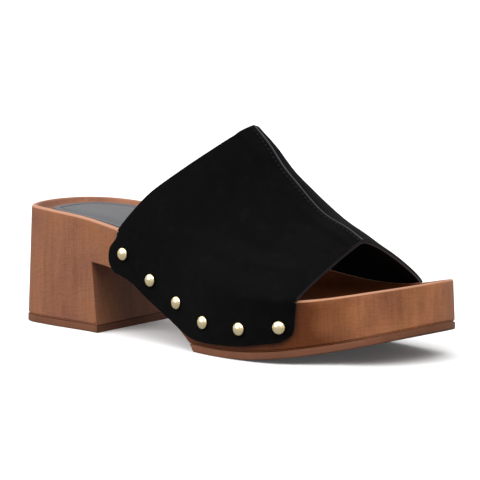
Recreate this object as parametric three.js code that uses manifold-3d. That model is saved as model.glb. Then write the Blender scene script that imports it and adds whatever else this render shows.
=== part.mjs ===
import * as THREE from 'three';
import { mergeVertices } from 'three/addons/utils/BufferGeometryUtils.js';
import Module from 'manifold-3d';

// A right-foot slip-on clog: a one-piece platform sole with a block heel, rubber under the
// forefoot and the heel, a padded heel sock, and a wide two-panel upper nailed to the sides.
// Millimetres, +Z up, toe towards +X, the outer side of the foot towards -Y.
// While it is built, x runs from 0, a little behind the heel, to soleLength at the toe.

// Driving dimensions of the sole
const soleLength = 250;
const ballWidth = 90;
const heelWidth = 61.6;
const heelHeight = 58.8;
const platformHeight = 29.7;
const toeSpring = 14.2;
const toeSpringStart = 162;
const rimRadius = 1.1;
const heelDish = 4.2;
const toeDish = 2.8;
const backFlare = 2.9;
const breastFlare = 0.6;
const toeFlare = 1.6;
const breastFoot = 69.6;
const breastLean = 4.4;
const breastSkew = 6.7;
const archHeight = 34.7;
const archEnd = 144.5;
const treadThickness = 3.5;
const treadUndercut = 3;
const grooveDepth = 0.5;
const grooveHeight = 0.9;

// Driving dimensions of the upper
const leather = 2;
const instepHeight = 102.4;
const crownRear = 146.2;
const crownFront = 213.3;
const crownShift = 1;
const baseRear = 91.5;
const lateralFront = 207;
const medialFront = 217;
const flangeReach = 26;
const rearBow = 3.8;
const seamHeight = 0.9;
const seamWidth = 7.5;

// Driving dimensions of the sock and the nails
const sockLength = 118;
const sockThickness = 2.2;
const sockRearInset = 0.32;
const nailHead = 6.6;
const nailRise = 2.5;
const nailShank = 1.8;
const nailLength = 10;

// Clearance between pieces that touch
const gap = 0.3;

// Outline of the sole's top edge, from above: how far along the sole, and how far out to each
// side. The heel rows are shares of heelWidth, and the others are shares of ballWidth.
const heelOutline = [
  { at: 0.046, lateral: 0.185, medial: 0.32 },
  { at: 0.078, lateral: 0.385, medial: 0.46 },
  { at: 0.136, lateral: 0.448, medial: 0.54 },
  { at: 0.256, lateral: 0.495, medial: 0.536 },
];
const lateralOutline = [
  { at: 0.368, half: 0.379 },
  { at: 0.512, half: 0.413 },
  { at: 0.66, half: 0.493 },
  { at: 0.792, half: 0.477 },
  { at: 0.888, half: 0.311 },
  { at: 0.956, half: 0.199 },
];
const medialOutline = [
  { at: 0.368, half: 0.32 },
  { at: 0.512, half: 0.366 },
  { at: 0.68, half: 0.489 },
  { at: 0.82, half: 0.46 },
  { at: 0.912, half: 0.413 },
  { at: 0.968, half: 0.364 },
];
const toeTip = 0.129;
const heelBack = { at: 0.0336, medial: 0.09 };

// Height of the top edge: body is a share of platformHeight, rise is a share of the step from
// platformHeight up to heelHeight, and the toe spring is added to both.
const topLine = [
  { at: 0, body: 1, rise: 1.02 },
  { at: 0.14, body: 1, rise: 0.975 },
  { at: 0.28, body: 1, rise: 0.884 },
  { at: 0.42, body: 1, rise: 0.68 },
  { at: 0.56, body: 1, rise: 0.241 },
  { at: 0.7, body: 0.99, rise: 0 },
  { at: 0.84, body: 0.865, rise: 0 },
  { at: 0.94, body: 0.828, rise: 0 },
  { at: 1, body: 0.78, rise: 0 },
];

// Underside of the arch from the breast to archEnd: height runs from the bottom of the wood
// up to archHeight.
const archLine = [
  { at: 0, height: 1 },
  { at: 0.09, height: 0.985 },
  { at: 0.2, height: 0.955 },
  { at: 0.31, height: 0.905 },
  { at: 0.44, height: 0.8 },
  { at: 0.56, height: 0.66 },
  { at: 0.69, height: 0.475 },
  { at: 0.81, height: 0.285 },
  { at: 0.89, height: 0.15 },
  { at: 1, height: 0 },
];

// Dish of the footbed, from its edge to the line down its middle: shares of its depth.
const dishLine = [
  { at: 0.06, depth: 0.05 },
  { at: 0.12, depth: 0.5 },
  { at: 0.18, depth: 0.8 },
  { at: 0.4, depth: 0.95 },
  { at: 0.7, depth: 1 },
];

// Crown of the upper, inside, from its rear edge to its front edge: shares of instepHeight.
const crownLine = [
  { at: 0, height: 1 },
  { at: 0.142, height: 0.918 },
  { at: 0.27, height: 0.823 },
  { at: 0.4, height: 0.747 },
  { at: 0.54, height: 0.668 },
  { at: 0.633, height: 0.624 },
  { at: 0.723, height: 0.595 },
  { at: 0.861, height: 0.561 },
  { at: 1, height: 0.516 },
];

// Section of the upper, from its rear edge to its front edge, as pulls on a curve from the
// base to the crown: how far up the side it stands upright, and how wide its crown is rounded
// on the lateral and on the medial side.
const archShape = [
  { at: 0, shoulder: 0.42, lateral: 0.3, medial: 0.36 },
  { at: 0.25, shoulder: 0.38, lateral: 0.25, medial: 0.52 },
  { at: 0.6, shoulder: 0.3, lateral: 0.22, medial: 0.54 },
  { at: 0.85, shoulder: 0.18, lateral: 0.16, medial: 0.4 },
  { at: 1, shoulder: 0.1, lateral: 0.1, medial: 0.28 },
];

// Sweep of the upper's rear edge, from the base to the crown: shares of rearBow backwards.
const bowLine = [
  { at: 0, back: 0 },
  { at: 0.15, back: 0.3 },
  { at: 0.37, back: 0.9 },
  { at: 0.58, back: 0.5 },
  { at: 0.8, back: 0.08 },
  { at: 1, back: 0 },
];

// Lower edge of the upper along the sole: shares of platformHeight.
const hemLine = [
  { at: 0.33, height: 1.13 },
  { at: 0.4, height: 0.98 },
  { at: 0.46, height: 0.7 },
  { at: 0.516, height: 0.475 },
  { at: 0.58, height: 0.26 },
  { at: 0.62, height: 0.212 },
  { at: 0.66, height: 0.212 },
  { at: 0.724, height: 0.24 },
  { at: 0.768, height: 0.303 },
  { at: 0.808, height: 0.364 },
  { at: 0.9, height: 0.5 },
];

// Ends of the part that lies on the sole's side, from its top to its hem: how far the rear
// edge reaches back, and how far the front edge draws in, as shares of flangeReach.
const flangeEnds = [
  { at: 0, back: 0, front: 0 },
  { at: 0.15, back: 0.01, front: 0.005 },
  { at: 0.45, back: 0.2, front: 0.02 },
  { at: 0.7, back: 0.24, front: 0.03 },
  { at: 0.88, back: 0.2, front: 0.08 },
  { at: 1, back: 0.08, front: 0.23 },
];

// Nails of one side: how far along the upper's base from its rear end to its front end, and
// how far down from the wood's top edge towards the hem.
const nails = [
  { along: 0.043, down: 0.46 },
  { along: 0.213, down: 0.58 },
  { along: 0.388, down: 0.575 },
  { along: 0.571, down: 0.64 },
  { along: 0.773, down: 0.63 },
  { along: 0.945, down: 0.62 },
];

// Fineness of the meshes
const soleStations = 48;
const outlineSamples = 900;
const upperStations = 24;
const archSteps = 9;
const nailSides = 12;

const wood = new THREE.MeshStandardMaterial({ color: 0x96624a, roughness: 0.5, metalness: 0 });
const rubber = new THREE.MeshStandardMaterial({ color: 0x8a5a42, roughness: 0.65, metalness: 0 });
const suede = new THREE.MeshStandardMaterial({ color: 0x121214, roughness: 0.95, metalness: 0 });
const padding = new THREE.MeshStandardMaterial({ color: 0x2c3038, roughness: 0.4, metalness: 0 });
const brass = new THREE.MeshStandardMaterial({ color: 0xe6cf8e, roughness: 0.2, metalness: 1 });

const wasm = await Module();
wasm.setup();

const lerp = THREE.MathUtils.lerp;
const clamp = THREE.MathUtils.clamp;
const radians = THREE.MathUtils.degToRad;
const range = (count, make) => Array.from({ length: count }, (_, i) => make(i));

// Smooth curve through one column of a table
function smooth(rows, column, at) {
  const place = clamp(at, rows[0].at, rows.at(-1).at);
  const i = clamp(rows.findIndex((row) => row.at >= place) - 1, 0, rows.length - 2);
  const slope = (k) => {
    const before = rows[Math.max(k - 1, 0)];
    const after = rows[Math.min(k + 1, rows.length - 1)];
    return (after[column] - before[column]) / (after.at - before.at);
  };
  const span = rows[i + 1].at - rows[i].at;
  const t = (place - rows[i].at) / span;
  const rise = rows[i + 1][column] - rows[i][column];
  const a = slope(i) * span - rise;
  const b = -slope(i + 1) * span + rise;
  return rows[i][column] + t * rise + t * (1 - t) * (a * (1 - t) + b * t);
}

// Closed outline from above, and its two sides from heel to toe
function outlineKnots() {
  const knot = (at, y) => new THREE.Vector3(at * soleLength, y, 0);
  const lateral = [
    ...heelOutline.map((row) => knot(row.at, -row.lateral * heelWidth)),
    ...lateralOutline.map((row) => knot(row.at, -row.half * ballWidth)),
  ];
  const medial = [
    ...heelOutline.map((row) => knot(row.at, row.medial * heelWidth)),
    ...medialOutline.map((row) => knot(row.at, row.half * ballWidth)),
  ];
  const back = knot(heelBack.at, heelBack.medial * heelWidth);
  return [back, ...lateral, knot(1, toeTip * ballWidth), ...medial.reverse()];
}

const outline = new THREE.CatmullRomCurve3(outlineKnots(), true, 'centripetal')
  .getPoints(outlineSamples).slice(0, -1);

function outlineSide(side) {
  const count = outline.length;
  const xs = outline.map((point) => point.x);
  const rear = xs.indexOf(Math.min(...xs));
  const front = xs.indexOf(Math.max(...xs));
  const steps = side < 0 ? (front - rear + count) % count : (rear - front + count) % count;
  return range(steps + 1, (i) => {
    const k = (rear - side * i + count) % count;
    const before = outline[(k - 1 + count) % count];
    const after = outline[(k + 1) % count];
    const out = new THREE.Vector3(after.y - before.y, before.x - after.x, 0).normalize();
    return { point: outline[k], out };
  });
}

const rails = { [-1]: outlineSide(-1), [1]: outlineSide(1) };
const railStart = rails[1][0].point.x;
const railEnd = rails[1].at(-1).point.x;

// Point of the outline at a length along one side, pushed outwards by grow
function edgeAt(side, x, grow = 0) {
  const rail = rails[side];
  const next = clamp(rail.findIndex((sample) => sample.point.x >= x), 1, rail.length - 1);
  const a = rail[next - 1];
  const b = rail[next];
  const t = clamp((x - a.point.x) / (b.point.x - a.point.x), 0, 1);
  const out = a.out.clone().lerp(b.out, t).normalize();
  return { point: a.point.clone().lerp(b.point, t).addScaledVector(out, grow), out };
}

// Heights and flare along the sole
const springAt = (x) => toeSpring * (Math.max(x - toeSpringStart, 0) / (soleLength - toeSpringStart)) ** 2;
const woodBottomAt = (x) => springAt(x) + treadThickness + gap;
function topAt(x) {
  const at = x / soleLength;
  const rise = (heelHeight - platformHeight) * smooth(topLine, 'rise', at);
  return springAt(x) + platformHeight * smooth(topLine, 'body', at) + rise;
}
function wallGrow(x, z) {
  const heel = lerp(backFlare, breastFlare, clamp(x / breastFoot, 0, 1));
  const forward = clamp((x - breastFoot) / (archEnd - breastFoot), 0, 1);
  return lerp(heel, toeFlare, forward) * (1 - z / topAt(x));
}
const dishAt = (x) => lerp(heelDish, toeDish, clamp((x - breastFoot) / (archEnd - breastFoot), 0, 1));
const breastShift = (y) => -y * Math.tan(radians(breastSkew));

// Line down the middle that the rings of the footbed close in on
function spineAt(x) {
  const place = clamp(x, soleLength * 0.14, soleLength * 0.86);
  const middle = (edgeAt(-1, place).point.y + edgeAt(1, place).point.y) / 2;
  return new THREE.Vector3(place, middle, 0);
}

// Closed mesh from rings of points, with a ladder of triangles across the first and the last
function loft(rings, ladder) {
  const count = rings[0].length;
  const positions = rings.flat().flatMap((point) => [point.x, point.y, point.z]);
  const triangles = [];
  for (let r = 0; r < rings.length - 1; r += 1) {
    for (let j = 0; j < count; j += 1) {
      const a = r * count + j;
      const b = r * count + (j + 1) % count;
      triangles.push(a, b, b + count, a, b + count, a + count);
    }
  }
  const last = (rings.length - 1) * count;
  ladder.forEach(([a, b, c]) => triangles.push(a, c, b, last + a, last + b, last + c));
  const geometry = new THREE.BufferGeometry();
  geometry.setAttribute('position', new THREE.Float32BufferAttribute(positions, 3));
  geometry.setIndex(triangles);
  return outwards(geometry);
}

// Triangles across a ring that runs out along one side and back along the other
function ladderOf(count, sharedStart) {
  const triangles = [];
  let a = 0;
  let b = sharedStart ? 0 : count - 1;
  const wrap = (k) => (k + count) % count;
  while (wrap(b - 1) !== a + 1 && wrap(b - 1) !== a) {
    if (wrap(b) !== a) triangles.push([a, a + 1, wrap(b)]);
    triangles.push([a + 1, wrap(b - 1), wrap(b)]);
    a += 1;
    b = wrap(b - 1);
  }
  if (wrap(b - 1) === a + 1) triangles.push([a, a + 1, b]);
  return triangles;
}

function outwards(geometry) {
  const p = geometry.attributes.position;
  const index = geometry.index.array;
  const corner = (k) => new THREE.Vector3().fromBufferAttribute(p, index[k]);
  let volume = 0;
  for (let k = 0; k < index.length; k += 3) {
    volume += corner(k).dot(corner(k + 1).cross(corner(k + 2)));
  }
  if (volume < 0) {
    for (let k = 0; k < index.length; k += 3) {
      [index[k + 1], index[k + 2]] = [index[k + 2], index[k + 1]];
    }
  }
  return geometry;
}

// Between three.js geometry and a solid that can be cut
function toSolid(geometry) {
  const bare = geometry.clone();
  bare.deleteAttribute('normal');
  bare.deleteAttribute('uv');
  const merged = mergeVertices(bare, 1e-4);
  return new wasm.Manifold(new wasm.Mesh({
    numProp: 3,
    vertProperties: Float32Array.from(merged.attributes.position.array),
    triVerts: Uint32Array.from(merged.index.array),
  }));
}

function toGeometry(solid) {
  const { vertProperties, triVerts } = solid.getMesh();
  const geometry = new THREE.BufferGeometry();
  geometry.setAttribute('position', new THREE.BufferAttribute(vertProperties, 3));
  geometry.setIndex(new THREE.BufferAttribute(triVerts, 1));
  return geometry;
}

function cutAway(solid, tools) {
  return toGeometry(tools.reduce((rest, tool) => rest.subtract(toSolid(tool)), solid));
}

// Ring around the whole sole: the same stations on both sides, closest together at the ends
const stationAt = (i) => lerp(railStart, railEnd, (1 - Math.cos((Math.PI * i) / soleStations)) / 2);

function soleRing(growAt, heightAt, shrink = 0) {
  const place = (side, i) => {
    const x = stationAt(i);
    const { point } = edgeAt(side, x, growAt(x));
    const drawn = point.lerp(spineAt(point.x), shrink);
    drawn.z = heightAt(drawn.x);
    return drawn;
  };
  const lateral = range(soleStations + 1, (i) => place(-1, i));
  const medial = range(soleStations - 1, (i) => place(1, soleStations - 1 - i));
  return [...lateral, ...medial];
}

// Wooden sole: flared side, a groove over the rubber, a rounded rim and a dished footbed
function soleBlock() {
  const side = (offset, up) => soleRing(
    (x) => wallGrow(x, woodBottomAt(x)) - offset, (x) => woodBottomAt(x) + up);
  const rim = (angle) => soleRing(
    () => -rimRadius * (1 - Math.cos(radians(angle))),
    (x) => topAt(x) - rimRadius * (1 - Math.sin(radians(angle))));
  const bed = (shrink, depth) => soleRing(
    () => -rimRadius, (x) => topAt(x) - dishAt(x) * depth, shrink);
  return loft([
    side(grooveDepth, 0),
    side(grooveDepth, grooveHeight - grooveDepth),
    side(0, grooveHeight),
    rim(0), rim(30), rim(60), rim(90),
    ...dishLine.map((row) => bed(row.at, row.depth)),
  ], ladderOf(soleStations * 2, true));
}

// Space between the heel's breast and the forefoot, as a prism across the sole
function archVoid() {
  const below = -20;
  const reach = ballWidth;
  const bottom = treadThickness + gap;
  const breastTop = breastFoot - breastLean;
  const curve = archLine.map((row) => [
    lerp(breastTop, archEnd, row.at), lerp(bottom, archHeight, row.height), 1 - row.at]);
  const foot = [breastFoot + (breastLean * -below) / archHeight, below, 1];
  const profile = [foot, ...curve, [archEnd, below, 0]].reverse();
  const across = (y) => profile.map(([x, z, skew]) =>
    new THREE.Vector3(x + breastShift(y) * skew, y, z));
  const flat = profile.map(([x, z]) => new THREE.Vector2(x, z));
  return loft([across(-reach), across(reach)], THREE.ShapeUtils.triangulateShape(flat, []));
}

// Slab of rubber under one end of the sole, from one length to another at each side. Its
// heel end or toe end is round, and the other is straight.
function tread(from, to, rearIsRound, undercut) {
  const count = soleStations / 2;
  const ease = (t) => (rearIsRound ? 1 - Math.cos((Math.PI * t) / 2) : Math.sin((Math.PI * t) / 2));
  const ring = (lip, up, cut) => {
    const place = (side, i) => {
      const start = from(side) + (rearIsRound ? 0 : cut);
      const x = lerp(start, to(side), ease(i / count));
      const { point } = edgeAt(side, x, wallGrow(x, springAt(x)) + lip);
      point.z = springAt(point.x) + up;
      return point;
    };
    const lateral = range(count + 1, (i) => place(-1, i));
    const medial = range(count + 1, (i) => place(1, count - i));
    return rearIsRound ? [...lateral, ...medial.slice(0, -1)] : [...lateral, ...medial.slice(1)];
  };
  const edge = treadThickness * 0.2;
  return loft([
    ring(-edge, 0, undercut),
    ring(0, edge, undercut * 0.8),
    ring(0, treadThickness - edge, undercut * 0.2),
    ring(-edge, treadThickness, 0),
  ], ladderOf(count * 2 + 1, rearIsRound));
}

function heelLift() {
  const breastAt = (side) => breastFoot + breastShift((side * heelWidth) / 2);
  return tread(() => railStart, breastAt, true, 0);
}

const outsole = () => tread(() => archEnd, () => railEnd, false, treadUndercut);

// Padded sock that lies in the dish of the heel
function heelSock() {
  const count = range(soleStations, (i) => stationAt(i)).filter((x) => x <= sockLength).length;
  const ring = (shrink, up) => {
    const place = (side, i) => {
      const x = stationAt(i);
      const { point } = edgeAt(side, x, -rimRadius);
      const drawnIn = shrink + (1 - shrink) * sockRearInset * (1 - x / sockLength) ** 4;
      const drawn = point.lerp(spineAt(point.x), drawnIn);
      drawn.z = topAt(drawn.x) - dishAt(drawn.x) * smooth(dishLine, 'depth', drawnIn) + up;
      return drawn;
    };
    const lateral = range(count, (i) => place(-1, i));
    const medial = range(count - 1, (i) => place(1, count - 1 - i));
    return [...lateral, ...medial];
  };
  const top = gap + sockThickness;
  return loft([
    ring(0.7, gap), ring(0.4, gap), ring(0.21, gap),
    ring(0.19, gap + sockThickness * 0.4),
    ring(0.21, gap + sockThickness * 0.8),
    ring(0.25, top), ring(0.4, top), ring(0.7, top),
  ], ladderOf(count * 2 - 1, true));
}

const flangeTopAt = (x) => topAt(x) - rimRadius * 0.3;
const frontOf = (side) => (side < 0 ? lateralFront : medialFront);

// Inner surface of the upper. along runs from the rear edge to the front edge. around runs
// from -2 at the lateral hem, through -1 at the wood's top edge and 0 at the crown, to 2.
function upperPoint(along, around) {
  const side = around < 0 ? -1 : 1;
  const front = frontOf(side);
  const turn = Math.abs(around);
  if (turn > 1) {
    const down = turn - 1;
    const rear = baseRear - flangeReach * smooth(flangeEnds, 'back', down);
    const x = lerp(rear, front - flangeReach * smooth(flangeEnds, 'front', down), along);
    const z = lerp(flangeTopAt(x), platformHeight * smooth(hemLine, 'height', x / soleLength), down);
    const { point } = edgeAt(side, x, wallGrow(x, z) + gap);
    point.z = z;
    return point;
  }
  const baseX = lerp(baseRear, front, along);
  const baseZ = flangeTopAt(baseX);
  const crownX = lerp(crownRear, crownFront, along);
  const crownZ = instepHeight * smooth(crownLine, 'height', along);
  const shoulder = smooth(archShape, 'shoulder', along);
  const ridge = smooth(archShape, side < 0 ? 'lateral' : 'medial', along);
  const spread = turn ** 3 + 3 * turn ** 2 * (1 - turn) + 3 * turn * (1 - turn) ** 2 * ridge;
  const lift = 3 * turn ** 2 * (1 - turn) * shoulder + 3 * turn * (1 - turn) ** 2 + (1 - turn) ** 3;
  const bow = rearBow * smooth(bowLine, 'back', lift) * (1 - along) ** 2;
  const x = lerp(baseX, crownX, lift) - bow;
  const hug = THREE.MathUtils.smoothstep(lift, 0, 0.3);
  const baseY = lerp(edgeAt(side, x, gap).point.y, edgeAt(side, baseX, gap).point.y, hug);
  return new THREE.Vector3(x, lerp(crownShift, baseY, spread), lerp(baseZ, crownZ, lift));
}

function upperNormal(along, around) {
  const step = 0.01;
  const ahead = upperPoint(Math.min(along + step, 1), around);
  const behind = upperPoint(Math.max(along - step, 0), around);
  const over = upperPoint(along, Math.min(around + step, 2));
  const under = upperPoint(along, Math.max(around - step, -2));
  return ahead.sub(behind).cross(over.sub(under)).normalize();
}

// How far around from the crown a length over the leather reaches
function turnFor(along, side, reach) {
  const step = 0.005;
  let turn = 0;
  let length = 0;
  let last = upperPoint(along, 0);
  while (length < reach) {
    turn += step;
    const next = upperPoint(along, side * turn);
    length += next.distanceTo(last);
    last = next;
  }
  return turn;
}

// The lateral panel laps over the medial one: its edge at the crown is a step in the wall
function upperRows(along) {
  const flange = [1, 0.88, 0.7, 0.45, 0.2].map((down) => ({ turn: 1 + down, raised: 0 }));
  const half = (side, reaches, raised) => {
    const near = reaches.map((reach, i) => ({ turn: turnFor(along, side, reach), raised: raised[i] }));
    const arch = range(archSteps, (i) => ({ turn: lerp(1, near[0].turn, i / archSteps), raised: 0 }));
    const rows = [...flange, ...arch, ...near];
    return rows.map(({ turn, raised: up }) => ({ around: side * turn, raised: up }));
  };
  const lateral = half(-1, [seamWidth * 1.4, seamWidth, seamWidth / 2, 0.25], [0, 1, 1, 1]);
  const medial = half(1, [seamWidth * 1.4, seamWidth * 0.7, seamWidth * 0.3], [0, 0, 0]);
  return [...lateral, { around: 0, raised: 0 }, ...medial.reverse()];
}

function upperShell() {
  const rings = range(upperStations + 1, (i) => {
    const along = i / upperStations;
    const rows = upperRows(along);
    const inside = rows.map(({ around }) => upperPoint(along, around));
    const outside = rows.map(({ around, raised }, k) => inside[k].clone()
      .addScaledVector(upperNormal(along, around), leather + seamHeight * raised));
    return [...inside, ...outside.reverse()];
  });
  return loft(rings, ladderOf(rings[0].length, false));
}

// Nail with a domed head; its axis is the way out of the sole's side
function nailPlaces() {
  return [-1, 1].flatMap((side) => nails.map((row, i) => {
    const x = lerp(baseRear, frontOf(side), row.along);
    const hem = platformHeight * smooth(hemLine, 'height', x / soleLength);
    const z = lerp(flangeTopAt(x), hem, row.down);
    const { point, out } = edgeAt(side, x, wallGrow(x, z) + gap * 2 + leather);
    point.z = z;
    const slope = (wallGrow(x, z - 1) - wallGrow(x, z + 1)) / 2;
    const axis = out.clone().setZ(slope).normalize();
    const name = `${side < 0 ? 'lateral' : 'medial'}_nail_${i + 1}`;
    return { name, point, axis };
  }));
}

function nailGeometry() {
  const radius = nailHead / 2;
  const ball = (radius ** 2 + nailRise ** 2) / (2 * nailRise);
  const edgeAngle = Math.asin(radius / ball);
  const dome = range(4, (i) => {
    const angle = edgeAngle * (1 - i / 3);
    return new THREE.Vector2(ball * Math.sin(angle), nailRise - ball * (1 - Math.cos(angle)));
  });
  const shank = [[0, -nailLength], [nailShank / 2, -nailLength + 1], [nailShank / 2, 0]];
  const profile = [...shank.map(([r, y]) => new THREE.Vector2(r, y)), ...dome];
  return new THREE.LatheGeometry(profile, nailSides);
}

const upright = new THREE.Vector3(0, 1, 0);

function nailHole({ point, axis }) {
  const reach = nailLength + gap;
  const hole = new THREE.CylinderGeometry(nailShank / 2 + gap, nailShank / 2 + gap, reach + leather, 8);
  hole.translate(0, (leather - reach) / 2, 0);
  hole.applyQuaternion(new THREE.Quaternion().setFromUnitVectors(upright, axis));
  hole.translate(point.x, point.y, point.z);
  return hole;
}

function piece(name, geometry, material) {
  const solid = mergeVertices(geometry.deleteAttribute('normal').deleteAttribute('uv'), 1e-4);
  const mesh = new THREE.Mesh(solid, material);
  mesh.name = name;
  return mesh;
}

const places = nailPlaces();
const holes = places.map(nailHole);
const group = new THREE.Group();
group.add(piece('wood_sole', cutAway(toSolid(soleBlock()), [archVoid(), ...holes]), wood));
group.add(piece('upper', cutAway(toSolid(upperShell()), holes), suede));
group.add(piece('outsole', outsole(), rubber));
group.add(piece('heel_lift', heelLift(), rubber));
group.add(piece('heel_sock', heelSock(), padding));
places.forEach(({ name, point, axis }) => {
  const nail = piece(name, nailGeometry(), brass);
  nail.position.copy(point);
  nail.quaternion.setFromUnitVectors(upright, axis);
  group.add(nail);
});

// The origin is under the middle of the whole shoe, on the floor
group.updateMatrixWorld(true);
const bounds = new THREE.Box3().setFromObject(group, true);
const middle = bounds.getCenter(new THREE.Vector3());
group.position.set(-middle.x, -middle.y, -bounds.min.z);

export default group;
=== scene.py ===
import math

import bmesh
import bpy
import numpy as np
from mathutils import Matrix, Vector


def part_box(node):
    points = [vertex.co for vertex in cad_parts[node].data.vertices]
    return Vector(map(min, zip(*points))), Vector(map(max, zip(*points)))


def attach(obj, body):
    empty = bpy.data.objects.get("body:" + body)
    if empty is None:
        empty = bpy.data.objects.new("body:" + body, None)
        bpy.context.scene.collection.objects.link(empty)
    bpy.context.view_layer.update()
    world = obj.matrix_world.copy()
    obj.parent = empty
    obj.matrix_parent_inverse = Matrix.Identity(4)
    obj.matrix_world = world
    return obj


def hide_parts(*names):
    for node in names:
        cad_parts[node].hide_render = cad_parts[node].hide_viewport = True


# A right-foot slip-on clog: wooden sole with a block heel, rubber treads, a padded heel sock
# and a two-panel suede upper nailed to the sides. Metres, toe towards +X, outer side towards -Y.

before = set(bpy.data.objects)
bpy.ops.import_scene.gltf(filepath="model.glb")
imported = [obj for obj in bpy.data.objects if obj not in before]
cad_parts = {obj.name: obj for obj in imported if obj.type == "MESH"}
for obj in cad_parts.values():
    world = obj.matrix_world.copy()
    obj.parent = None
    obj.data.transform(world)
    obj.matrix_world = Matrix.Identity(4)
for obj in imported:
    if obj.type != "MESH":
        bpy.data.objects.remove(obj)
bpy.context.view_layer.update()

# Sole
sole_length = 0.250
ball_width = 0.090
heel_width = 0.0616
heel_height = 0.0588
platform_height = 0.0297
toe_spring = 0.0142
toe_spring_start = 0.162
rim_radius = 0.0011
heel_dish = 0.0042
toe_dish = 0.0028
back_flare = 0.0029
breast_flare = 0.0006
toe_flare = 0.0016
breast_foot = 0.0696
breast_lean = 0.0044
breast_skew = math.radians(6.7)
arch_height = 0.0347
arch_end = 0.1445
tread_thickness = 0.0035
tread_undercut = 0.003
tread_rounding = 0.00056
rib_pitch = 0.006
rib_width = 0.0008
rib_depth = 0.0006
rib_margin = 0.006
groove_depth = 0.0005
groove_height = 0.0009
groove_fade = 0.004
wood_edge_radius = 0.0006
toe_tip = 0.129
heel_back = (0.0336, 0.09)

# Upper
leather = 0.002
instep_height = 0.1024
crown_rear = 0.1462
crown_front = 0.2133
crown_shift = 0.001
base_rear = 0.0915
lateral_front = 0.207
medial_front = 0.217
flange_reach = 0.026
rear_bow = 0.0038
edge_bulge = 0.0004
seam_height = 0.0009
seam_width = 0.0075
stitch_inset = 0.0026
stitch_pitch = 0.0024
stitch_length = 0.0017
thread_radius = 0.0004
notch_depth = 0.0013
notch_width = 0.0005

# About how wide a turn of 1 is, below the bend at the wood's edge and above it
flange_width = 0.02
arch_width = 0.09

# Sock and nails, with the sock's rear inset and the nails' underside as shares
sock_length = 0.118
sock_thickness = 0.0022
sock_rear_inset = 0.32
sock_crown = 0.0005
channel_inset = 0.0046
channel_width = 0.0009
channel_depth = 0.0006
nail_head = 0.0066
nail_rise = 0.0025
nail_shank = 0.0018
nail_length = 0.010
nail_underside = 0.08

# Pieces that touch stay this far apart, and points this close become one
gap = 0.0003
weld_distance = 2e-6
small_step = 0.001

# How finely the pieces are divided
heel_stops = 46
arch_stops = 48
toe_stops = 84
lift_stops = 150
outsole_stops = 240
sock_stops = 110
across_columns = 14
upper_stations = 96
upper_turns = 44
stitch_stations = 160
stitch_facets = 8
nail_facets = 40
nail_rings = 24
shank_facets = 12


def table(columns, rows):
    """A table of rows as one array a column, found by the column's name."""
    return dict(zip(columns.split(), np.array(rows, float).T))


# Outline of the top edge from above: heel rows in shares of heel_width, and the others in
# shares of ball_width.
heel_outline = table("at lateral medial", [
    (0.046, 0.185, 0.32), (0.078, 0.385, 0.46), (0.136, 0.448, 0.54), (0.256, 0.495, 0.536)])
lateral_outline = table("at half", [
    (0.368, 0.379), (0.512, 0.413), (0.66, 0.493),
    (0.792, 0.477), (0.888, 0.311), (0.956, 0.199)])
medial_outline = table("at half", [
    (0.368, 0.32), (0.512, 0.366), (0.68, 0.489),
    (0.82, 0.46), (0.912, 0.413), (0.968, 0.364)])

# Height of the top edge: shares of platform_height, and of the step up to heel_height
top_line = table("at body rise", [
    (0, 1, 1.02), (0.14, 1, 0.975), (0.28, 1, 0.884), (0.42, 1, 0.68), (0.56, 1, 0.241),
    (0.7, 0.99, 0), (0.84, 0.865, 0), (0.94, 0.828, 0), (1, 0.78, 0)])
arch_line = table("at height", [
    (0, 1), (0.09, 0.985), (0.2, 0.955), (0.31, 0.905), (0.44, 0.8),
    (0.56, 0.66), (0.69, 0.475), (0.81, 0.285), (0.89, 0.15), (1, 0)])

# Footbed from the rim to the middle line: how far in, and the share of the dish's depth
bed_line = table("at depth", [
    (0, 0), (0.06, 0.05), (0.12, 0.5), (0.18, 0.8), (0.4, 0.95), (0.7, 1), (1, 1)])

# Crown of the upper, pulls of its section, its hem and the ends of its flange
crown_line = table("at height", [
    (0, 1), (0.142, 0.918), (0.27, 0.823), (0.4, 0.747), (0.54, 0.668),
    (0.633, 0.624), (0.723, 0.595), (0.861, 0.561), (1, 0.516)])
arch_shape = table("at shoulder lateral medial", [
    (0, 0.42, 0.3, 0.36), (0.25, 0.38, 0.25, 0.52), (0.6, 0.3, 0.22, 0.54),
    (0.85, 0.18, 0.16, 0.4), (1, 0.1, 0.1, 0.28)])
bow_line = table("at back", [
    (0, 0), (0.15, 0.3), (0.37, 0.9), (0.58, 0.5), (0.8, 0.08), (1, 0)])
hem_line = table("at height", [
    (0.33, 1.13), (0.4, 0.98), (0.46, 0.7), (0.516, 0.475), (0.58, 0.26), (0.62, 0.212),
    (0.66, 0.212), (0.724, 0.24), (0.768, 0.303), (0.808, 0.364), (0.9, 0.5)])
flange_ends = table("at back front", [
    (0, 0, 0), (0.15, 0.01, 0.005), (0.45, 0.2, 0.02),
    (0.7, 0.24, 0.03), (0.88, 0.2, 0.08), (1, 0.08, 0.23)])
nails = table("along down", [
    (0.043, 0.46), (0.213, 0.58), (0.388, 0.575), (0.571, 0.64), (0.773, 0.63), (0.945, 0.62)])

# Soft troughs and ridges of the upper: where they lie, how wide they are and how deep
folds = table("along around length width depth", [
    (0.62, -0.55, 0.26, 0.050, -0.0005),
    (0.45, -0.72, 0.22, 0.045, 0.0004),
    (0.80, -0.62, 0.20, 0.040, 0.0005),
    (0.30, -0.45, 0.24, 0.060, -0.0004),
    (0.70, 0.55, 0.26, 0.050, -0.0005),
    (0.45, 0.70, 0.24, 0.050, 0.0004)])

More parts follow.
